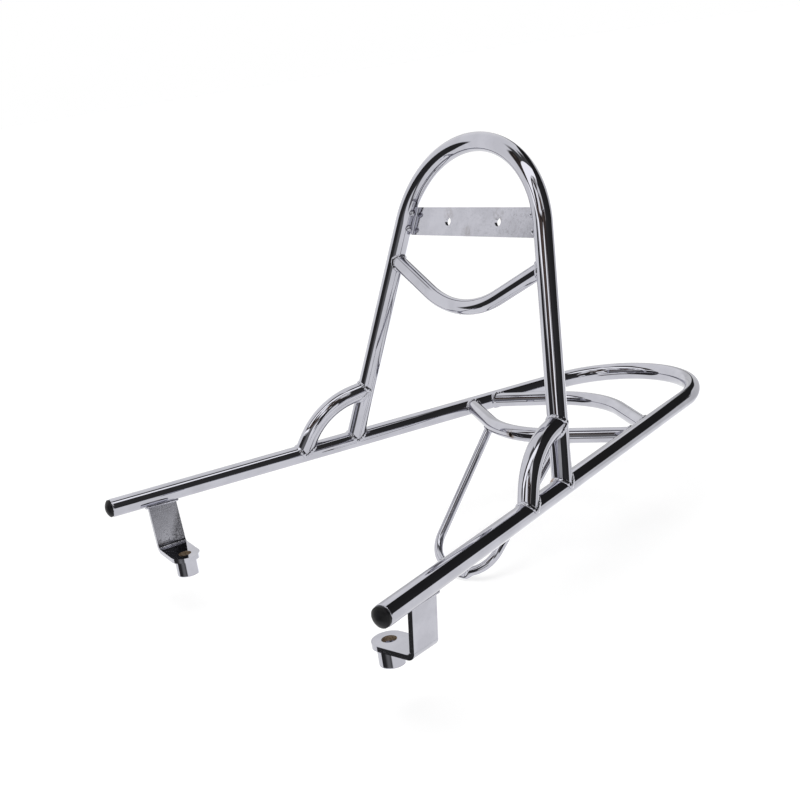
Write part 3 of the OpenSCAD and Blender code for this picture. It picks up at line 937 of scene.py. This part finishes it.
# The vent's pit is brown bare metal painted nearly black: painted shade for the tube's dark hollow
# behind the hole
vent_shade = bare("vent_shade", (0.10, 0.06, 0.03), (0.02, 0.015, 0.01), 0.7)

base, back = (PATH["base_hoop"], TUBE_R), (PATH["backrest_hoop"], TUBE_R)
front = (PATH["front_cross_tube"], CROSS_R)


def hoops_and_braces():
    # A hair thinner than the solid, to stay inside the solid's box
    hair = 0.03 * MM
    rails = bar("base_rails", base[0], TUBE_R - hair, tube_metal)
    finish(rails, "tube_chrome", "base_hoop")
    bow = bar("backrest_bow", back[0], TUBE_R, tube_metal, base, base)
    finish(bow, "tube_chrome", "backrest_hoop")
    for side in ("left", "right"):
        brace = bar(side + "_brace", PATH["brace_" + side], TUBE_R, tube_metal, base, back)
        finish(brace, "tube_chrome", "brace_" + side)


def cross_tubes():
    """Two of the three have a vent hole for the plating bath."""
    vents = {
        "front_cross_tube": (place(BASE, [(0, FRONT_BOW - CROSS_R)])[0], (0, 1, 0)),
        "backrest_cross_tube": (place(BACK, [(0, BACK_BOW - CROSS_R)])[0], BACK[1][1]),
    }
    for node, piece, main in (
        ("front_cross_tube", "front_bow", base),
        ("rear_cross_tube", "rear_bow", base),
        ("backrest_cross_tube", "backrest_crossbar", back),
    ):
        o = bar(piece, PATH[node], CROSS_R, cross_metal, main, main)
        if node in vents:
            drill(o, *vents[node], VENT_D, VENT_DEPTH, vent_shade)
        finish(o, "tube_chrome", node)


def stay():
    """The round bar, pressed flat in the middle of its bottom run and drilled there."""
    flat_half, ramp, wider, thinner, sides, bottom_run = 19.0, 5.0, 3, 2, 48, 30 * MM
    path = PATH["stay_rod"]
    first = free_end(path, STAY_R, front[0], CROSS_R, sides)
    last = len(path) - 1 - first
    t, u, v = axes(path)
    flat_n = STAY_PLANE[1][2]
    eye = place(STAY_PLANE, [(0, STAY[1])])[0]
    a = np.linspace(0, 2 * math.pi, sides, endpoint=False)
    c, s = np.cos(a), np.sin(a)
    rings = []
    for i in range(first, last + 1):
        bottom = np.linalg.norm(path[i] - eye) < bottom_run
        f = min(1.0, max(0.0, (flat_half - abs(path[i][0]) / MM) / ramp)) if bottom else 0.0
        f = f * f * (3 - 2 * f)
        w, h = (4 + wider * f) * MM, (4 - thinner * f) * MM
        # 1 gives a round section, and less gives one with flatter sides
        e = 2 / (2 + 3 * f)
        across = unit(np.cross(t[i], flat_n))
        up = np.cross(across, t[i])
        x = np.sign(c) * np.abs(c) ** e * w
        y = np.sign(s) * np.abs(s) ** e * h
        rings.append(path[i] + x[:, None] * across + y[:, None] * up)
    rings.insert(0, march(rings[0], -t[first], front[0], CROSS_R - SINK))
    rings.append(march(rings[-1], t[last], front[0], CROSS_R - SINK))
    o = mesh_object("stay", *skin(rings), rod_metal)
    drill(o, eye, flat_n, d=6.5 * MM, depth=8 * MM, inside=bore_brown)
    finish(o, "rod_chrome", "stay_rod")


def plug(side, s):
    """A domed plug in a rail's open end. The profile is (radius, height) in mm."""
    at = PATH["base_hoop"][0 if s > 0 else -1]
    out = np.array([s * math.sin(SPLAY), -math.cos(SPLAY), 0])
    x = unit(np.cross(out, (0, 0, 1)))
    where = plane(at, x, np.cross(out, x), out)
    axis, stem, high, edge, lift, steps = 0.01, 6.4, 3.6, 7.48, 1.5, 12
    dome_r = (8.0**2 + high**2) / (2 * high)
    profile = [(axis, -1.0), (stem, -1.0), (stem, 0.02)]
    profile += [(7.3, 0.02), (7.42, 0.15), (7.5, 0.5), (7.52, 1.2)]
    for k in range(steps):
        a = math.asin(edge / dome_r) * (1 - k / (steps - 1))
        h = lift + dome_r * math.cos(a) - (dome_r - high)
        profile.append((max(axis, dome_r * math.sin(a)), h))
    o = lathe(side + "_plug", where, [(r * MM, h * MM) for r, h in profile], plug_black)
    finish(o, "plug_plastic", "end_plug_" + side)


def spacer(side, s):
    """A turned sleeve below a tab. Extra rings near its ends keep the wall's shading straight."""
    r, bore, high, bevel = 9.5, 5.5, 14.0, 0.4
    edge = [(0.5, 0.0), (0.15, 0.15), (0.0, 0.5), (0.0, 0.9), (0.0, 1.3)]
    low = [(r - inset, h) for inset, h in edge]
    top = [(out, high - h) for out, h in low[::-1]]
    profile = [(bore, bevel), (bore + bevel, 0.0)] + low + top + [(bore, high)]
    where = plane((s * BOLT_X, 0, 0), (1, 0, 0), (0, 1, 0), (0, 0, 1))
    o = lathe(side + "_spacer", where, [(a * MM, h * MM) for a, h in profile], spacer_metal)
    finish(o, "spacer_chrome", "spacer_" + side)


def bracket(side, s):
    """A folded tab, with bare metal in its bolt hole and painted shade low inside its fold."""
    upright_x, bore_r = 160 * MM, 6.2 * MM
    o = softened(side + "_bracket", "bracket_" + side, bracket_metal, 0.6 * MM, 3)
    o.data.materials.append(bore_brown)
    o.data.materials.append(inner_metal)
    for f in o.data.polygons:
        c = f.center
        # Inner faces of the upright take the material with the painted fold shade
        if f.normal.x * s < -0.4 and abs(c.x) > upright_x:
            f.material_index = 2
        if math.hypot(c.x - s * BOLT_X, c.y) < bore_r and abs(f.normal.z) < 0.5:
            f.material_index = 1
    finish(o, "bracket_chrome", "bracket_" + side)


def both_ends(path):
    """The path from its start, and the same path from its end."""
    return path, path[::-1]


def welds():
    braces = [PATH["brace_left"], PATH["brace_right"]]
    high_cross = PATH["backrest_cross_tube"]
    for piece, node, bars, r, main in (
        ("foot_beads", "backrest_foot_welds", both_ends(back[0]), TUBE_R, base),
        ("brace_foot_beads", "brace_foot_welds", braces, TUBE_R, base),
        ("brace_top_beads", "brace_top_welds", [b[::-1] for b in braces], TUBE_R, back),
        ("front_beads", "front_cross_welds", both_ends(front[0]), CROSS_R, base),
        ("rear_beads", "rear_cross_welds", both_ends(PATH["rear_cross_tube"]), CROSS_R, base),
        ("crossbar_beads", "backrest_cross_welds", both_ends(high_cross), CROSS_R, back),
        ("stay_beads", "stay_welds", both_ends(PATH["stay_rod"]), STAY_R, front),
    ):
        joints = [(path, r) + main for path in bars]
        size = STAY_BEAD if node == "stay_welds" else BEAD
        finish(beads(piece, joints, weld_metal, size), "weld_metal", node)
    for piece, node, wave, rounds in (
        ("bracket_beads", "bracket_welds", 0.14 * MM, 12),
        ("plate_beads", "plate_welds", 0.3 * MM, 25),
    ):
        finish(lumpy(piece, node, wave, rounds), "weld_metal", node)


hoops_and_braces()
cross_tubes()
stay()
for side, s in (("left", 1), ("right", -1)):
    plug(side, s)
    spacer(side, s)
    bracket(side, s)
plate = softened("backrest_strip", "backrest_plate", plate_metal, 0.35 * MM, 2)
finish(plate, "plate_chrome", "backrest_plate")
welds()

floor()
studio()
softbox("overhead", at=(0.3, -0.2, 2.2), aim=(0, 0.2, 0), size=1.6, watts=14)
